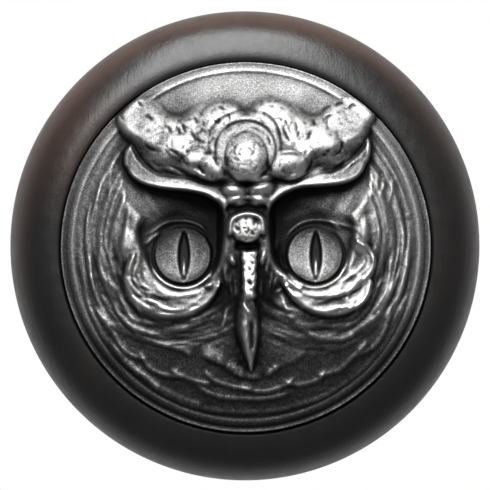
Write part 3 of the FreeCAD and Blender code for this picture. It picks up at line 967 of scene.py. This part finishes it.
def wooden_body():
    """Pilot hole, foot, bead, cove neck, belly, rounded front edge and recess, in that order."""
    mouth_d = -MOUTH_Y / MM
    floor_d = -BACK_Y / MM - BOND_T
    recess_r = MEDALLION_R / MM + FIT_GAP
    widest = (KNOB_R / MM, WIDEST_D)
    bead = (BEAD_R, BEAD_D / 2)
    outline = [(0, PILOT_D), (PILOT_R - 0.1, PILOT_D), (PILOT_R, PILOT_D - 0.1), (PILOT_R, BARREL_D + 0.1),
               (PILOT_R + 0.1, BARREL_D), (BARREL_R - 0.1, BARREL_D), (BARREL_R, BARREL_D - 0.1),
               (BARREL_R, COLLAR_D + 0.08), (BARREL_R + 0.1, COLLAR_D), (COLLAR_R - 0.07, COLLAR_D),
               (COLLAR_R, COLLAR_D - 0.07), (COLLAR_R, 0.05), (COLLAR_R + 0.05, 0.0)]
    outline += [(r, 0.0) for r in (4.3, 6.0, 8.0, 9.0)]
    outline += quarter((BEAD_EDGE, 0), bead, 8)
    outline += quarter((BEAD_EDGE, BEAD_D), bead, 8)[::-1][1:]
    outline += [(8.95, BEAD_D), (8.82, BEAD_D)]
    outline += quarter((8.8, BEAD_D), NECK, 16)
    outline += quarter(BELLY, NECK, 28)[::-1][1:]
    outline += quarter(BELLY, widest, 20)[1:]
    outline += quarter((recess_r + 0.2, mouth_d), widest, 36)[::-1][1:]
    outline += [(recess_r + 0.08, mouth_d - 0.03), (recess_r, mouth_d - 0.15), (recess_r, mouth_d - 0.4),
                (recess_r, floor_d + 0.1), (recess_r - 0.1, floor_d), (5.0, floor_d), (0, floor_d)]
    return stand_for(revolve("turned_wood", outline, WOOD_SEGMENTS), "knob_body")


# ---- brass insert ----
THREAD_SEGMENTS = 72
PITCH = 0.794
TURNS = 9
CREST_R = 1.73
ROOT_R = 2.08
MOUTH_R = 2.25
INSERT_D = 11.0
FLANK = 1.15


def brass_insert():
    """Collar with a cut thread. The thread's wall is one grid whose radius follows the helix."""
    outline = [(3.28, INSERT_D), (3.28, 0.8), (4.04, 0.8), (4.1, 0.72), (4.1, 0.10), (4.02, 0.015),
               (3.2, 0.0), (2.6, 0.0), (2.32, 0.02)]
    turn = np.linspace(0, 2 * math.pi, THREAD_SEGMENTS, endpoint=False)
    rows = [[(r, d) for _ in turn] for r, d in outline]
    for depth in np.arange(0.25, TURNS * PITCH, PITCH / 8):
        lead = past(depth, 0.2, 0.5)
        row = []
        for a in turn:
            phase = (depth / PITCH - a / (2 * math.pi)) % 1
            tooth = abs(2 * phase - 1)
            r = CREST_R + (ROOT_R - CREST_R) * min(1, FLANK * tooth)
            row.append((r + (1 - lead) * (MOUTH_R - r), depth))
        rows.append(row)
    rows.append([(CREST_R, INSERT_D) for _ in turn])
    points = [turned(r, d, a) for row in rows for (r, d), a in zip(row, turn)]
    # the last row joins the first, which closes the ring at the inner end
    faces = grid_faces(len(rows) + 1, THREAD_SEGMENTS, closed=True) % len(points)
    piece = make_mesh("brass_insert", points, faces[:, ::-1].tolist())
    return stand_for(piece, "threaded_insert")


# ---- materials ----
class Graph:
    """A tree of shader nodes."""

    def __init__(self, owner):
        owner.use_nodes = True
        self.tree = owner.node_tree
        self.tree.nodes.clear()

    def add(self, kind, inputs=None, **settings):
        """A node with its settings, and with each given input set or joined to an output."""
        node = self.tree.nodes.new("ShaderNode" + kind)
        for key, value in settings.items():
            setattr(node, key, value)
        for key, value in (inputs or {}).items():
            self.put(node.inputs[key], value)
        return node

    def put(self, socket, value):
        """Joins an output to the socket, or sets a plain value."""
        if hasattr(value, "links"):
            self.tree.links.new(value, socket)
        else:
            socket.default_value = value


class Surface(Graph):
    """The nodes of one material."""

    def __init__(self, name):
        self.material = bpy.data.materials.new(name)
        super().__init__(self.material)
        self.surface = self.add("BsdfPrincipled")
        self.add("OutputMaterial", {"Surface": self.surface.outputs["BSDF"]})
        self.place = self.add("TexCoord").outputs["Object"]

    def set(self, **inputs):
        """Sets inputs of the surface, with _ for a space in their names."""
        for key, value in inputs.items():
            self.put(self.surface.inputs[key.replace("_", " ")], value)

    def noise(self, scale, detail, stretch=(1, 1, 1), roughness=0.55, distortion=0.0):
        """Fractal noise over the object's own coordinates in metres."""
        mapping = self.add("Mapping", {"Vector": self.place, "Scale": stretch})
        inputs = {"Vector": mapping.outputs["Vector"], "Scale": scale, "Detail": detail,
                  "Roughness": roughness, "Distortion": distortion}
        return self.add("TexNoise", inputs).outputs["Fac"]

    def ramp(self, value, *stops):
        """Maps a value through (position, colour or grey) stops."""
        node = self.add("ValToRGB", {"Fac": value})
        elements = node.color_ramp.elements
        while len(elements) < len(stops):
            elements.new(0.5)
        for element, (position, colour) in zip(elements, stops):
            element.position = position
            element.color = (colour,) * 3 + (1,) if np.isscalar(colour) else colour + (1,)
        return node.outputs["Color"]

    def math(self, operation, a, b, clamp=False):
        """One step of arithmetic on values."""
        return self.add("Math", {0: a, 1: b}, operation=operation, use_clamp=clamp).outputs[0]

    def swing(self, value, gain):
        """The value's swing about its middle, times a gain."""
        return self.math("MULTIPLY", self.math("SUBTRACT", value, 0.5), gain)

    def vector(self, operation, output, a, b=(0, 0, 0)):
        """One step of arithmetic on vectors."""
        return self.add("VectorMath", {0: a, 1: b}, operation=operation).outputs[output]

    def bump(self, *layers):
        """Chains bumps of (height, distance in metres)."""
        normal = None
        for height, distance in layers:
            inputs = {"Distance": distance, "Height": height}
            if normal:
                inputs["Normal"] = normal
            normal = self.add("Bump", inputs).outputs["Normal"]
        self.set(Normal=normal)


def pewter():
    """Bright on the rubbed places, black in the hollows, with a fine grain between; the tone also carries
    the painted light and shade of the sheet.
    """
    m = Surface("antique_pewter")
    # patina with painted light and shade, from the casting's sheet
    full_patina_and_painted_light = m.add("Attribute", attribute_name="full_patina_and_painted_light").outputs["Fac"]
    grain = m.noise(8500, 4, roughness=0.7)
    blotch = m.noise(420, 3)
    wear_and_painted_light = m.math("ADD", full_patina_and_painted_light, m.swing(grain, 1.6))
    wear_and_painted_light = m.math("ADD", wear_and_painted_light, m.swing(blotch, 0.3))
    wear_and_painted_light = m.math("ADD", m.math("MULTIPLY", wear_and_painted_light, 0.5), 0.5, clamp=True)
    colour = m.ramp(wear_and_painted_light, (0.20, (0.52, 0.52, 0.515)), (0.50, (0.15, 0.15, 0.149)),
                    (0.70, (0.045, 0.045, 0.045)), (0.88, (0.016, 0.016, 0.016)))
    rough = m.ramp(wear_and_painted_light, (0.30, 0.34), (0.85, 0.58))
    m.set(Base_Color=colour, Roughness=rough, Metallic=1.0)
    m.bump((grain, 0.00005))
    return m.material


def stained_wood():
    """Nearly black; the dark finish is rubbed thin round the edge, where the wood's red shows, and the red
    is painted stronger towards the upper left and in a patch there, as painted light.
    """
    m = Surface("stained_walnut")
    figure = m.noise(260, 4, stretch=(1.0, 1.0, 0.09), distortion=0.6)
    pores = m.noise(2600, 2, stretch=(1.0, 1.0, 0.05))
    soft = m.swing(m.noise(70, 2), 0.06)
    # places seen from the front, in knob radii
    face = m.vector("MULTIPLY", "Vector", m.place, (1 / KNOB_R, 0, 1 / KNOB_R))
    edge = m.ramp(m.math("ADD", m.vector("LENGTH", "Value", face), soft), (0.90, 0.0), (0.96, 1.0))
    # red at the edge is stronger towards the upper left, as painted light
    upward = m.vector("DOT_PRODUCT", "Value", face, (-0.35, 0, 0.94))
    edge = m.math("MULTIPLY", edge, m.ramp(upward, (0.0, 0.18), (0.75, 1.0)))
    # painted light: a patch of red on the upper left of the rim
    spot = m.vector("DISTANCE", "Value", face, (-0.80, 0, 0.50))
    painted_light_patch = m.ramp(m.math("ADD", spot, soft), (0.10, 0.5), (0.40, 0.0))
    dark = m.ramp(figure, (0.35, (0.0045, 0.004, 0.004)), (0.65, (0.007, 0.006, 0.0055)))
    red = m.ramp(figure, (0.35, (0.026, 0.012, 0.009)), (0.65, (0.040, 0.019, 0.013)))
    thin = m.math("MAXIMUM", edge, painted_light_patch)
    colour = m.add("Mix", {"Factor": thin, 6: dark, 7: red}, data_type="RGBA").outputs[2]
    rough = m.ramp(m.noise(900, 3), (0.3, 0.30), (0.7, 0.40))
    m.set(Base_Color=colour, Roughness=rough)
    m.bump((pores, 0.00002), (m.noise(5000, 2), 0.00001))
    return m.material


def machined_brass():
    """Brass with fine turning rings."""
    m = Surface("machined_brass")
    colour = m.ramp(m.noise(900, 3), (0.3, (0.55, 0.38, 0.15)), (0.7, (0.78, 0.58, 0.26)))
    rough = m.ramp(m.noise(3000, 2), (0.3, 0.24), (0.7, 0.40))
    m.set(Base_Color=colour, Roughness=rough, Metallic=1.0)
    inputs = {"Vector": m.place, "Scale": 2200, "Distortion": 1.5}
    rings = m.add("TexWave", inputs, wave_type="RINGS", rings_direction="Y")
    m.bump((rings.outputs["Fac"], 0.00001))
    return m.material


def cured_epoxy():
    """Cloudy amber glue."""
    m = Surface("cured_epoxy")
    colour = m.ramp(m.noise(700, 3), (0.3, (0.42, 0.36, 0.22)), (0.7, (0.60, 0.54, 0.38)))
    m.set(Base_Color=colour, Roughness=0.3)
    m.bump((m.noise(900, 2), 0.00004))
    return m.material


def pale_floor_paint():
    """Nearly white and matt."""
    m = Surface("pale_floor")
    colour = m.ramp(m.noise(40, 3), (0.3, 0.80), (0.7, 0.84))
    m.set(Base_Color=colour, Roughness=0.8)
    return m.material


def dress(piece, material):
    """Gives a piece its one material."""
    piece.data.materials.clear()
    piece.data.materials.append(material)


# ---- studio ----
CAMERA_DISTANCE = 0.40
KNOB_SHARE = 67 / 70  # of the picture's width
FRAME_WIDTH = 2 * KNOB_R / KNOB_SHARE
SENSOR = 36.0
CAMERA_LEFT = math.radians(0.7)
CAMERA_UP = math.radians(1.1)
CAMERA_AIM = (0, -0.0168, 0.00008)
LAMP_AIM = (0, -0.018, 0)
DIM_BELOW = 0.24
DIM_ABOVE = 0.34
BACKDROP = 0.62
FLOOR_R = 0.2
FLOOR_DROP = 0.018
FLOOR_SIDES = 96


def direction(azimuth, elevation):
    """Unit vector from the knob; azimuth goes to the right from straight in front."""
    level = math.cos(elevation)
    return Vector((math.sin(azimuth) * level, -math.cos(azimuth) * level, math.sin(elevation)))


def camera():
    """Nearly straight in front, a little to the left of the knob's axis and above it."""
    data = bpy.data.cameras.new("camera")
    data.sensor_width = SENSOR
    data.lens = SENSOR * CAMERA_DISTANCE / FRAME_WIDTH
    eye = put_in_scene("camera", data)
    eye.location = Vector(CAMERA_AIM) + direction(-CAMERA_LEFT, CAMERA_UP) * CAMERA_DISTANCE
    eye.rotation_euler = (math.pi / 2 - CAMERA_UP, 0, -CAMERA_LEFT)
    bpy.context.scene.camera = eye


def softbox(name, azimuth, elevation, distance, size, radiance):
    """A rectangular lamp that faces the knob, from an azimuth and elevation in degrees."""
    data = bpy.data.lights.new(name, "AREA")
    data.shape = "RECTANGLE"
    data.size, data.size_y = size
    data.energy = radiance * math.pi * size[0] * size[1]
    lamp = put_in_scene(name, data)
    out = direction(math.radians(azimuth), math.radians(elevation))
    lamp.location = Vector(LAMP_AIM) + out * distance
    lamp.rotation_euler = out.to_track_quat("Z", "Y").to_euler()
    lamp.visible_camera = False


def world():
    """Plain white to the camera. To everything else, dim in front, dimmer below and brighter behind."""
    w = bpy.data.worlds.new("studio")
    bpy.context.scene.world = w
    g = Graph(w)
    ways = g.add("SeparateXYZ", {0: g.add("TexCoord").outputs["Generated"]})

    def climb(way, low, high, at_low, at_high):
        """Goes from one value to another as the view direction turns."""
        inputs = {"Value": ways.outputs[way], "From Min": low, "From Max": high,
                  "To Min": at_low, "To Max": at_high}
        return g.add("MapRange", inputs, interpolation_type="SMOOTHSTEP").outputs[0]

    upward = climb("Z", -0.6, 0.9, DIM_BELOW, DIM_ABOVE)
    behind = climb("Y", 0.1, 0.7, 0.0, 1.0)
    glow = g.add("Mix", {0: behind, 2: upward, 3: BACKDROP}, data_type="FLOAT").outputs[0]
    white = (1, 1, 1, 1)
    seen = g.add("Background", {"Color": white})
    lit = g.add("Background", {"Color": white, "Strength": glow})
    to_camera = g.add("LightPath").outputs["Is Camera Ray"]
    sky = g.add("MixShader", {0: to_camera, 1: lit.outputs[0], 2: seen.outputs[0]})
    g.add("OutputWorld", {"Surface": sky.outputs[0]})


def floor():
    """A pale disc under the knob that lights nothing."""
    turn = np.linspace(0, 2 * math.pi, FLOOR_SIDES, endpoint=False)
    z = -KNOB_R - FLOOR_DROP
    points = [(FLOOR_R * math.cos(a), FLOOR_R * math.sin(a), z) for a in turn]
    piece = make_mesh("floor", points, [tuple(range(FLOOR_SIDES))])
    dress(piece, pale_floor_paint())
    piece.visible_diffuse = False
    piece.visible_glossy = False


# ---- build ----
dress(owl_casting(), pewter())
dress(wooden_body(), stained_wood())
dress(brass_insert(), machined_brass())
dress(frame["nodes"]["adhesive_bond"], cured_epoxy())
floor()
world()
camera()
softbox("top_softbox", -9, 54, 0.35, (0.30, 0.48), 9.0)
bpy.context.scene.view_settings.view_transform = "Standard"
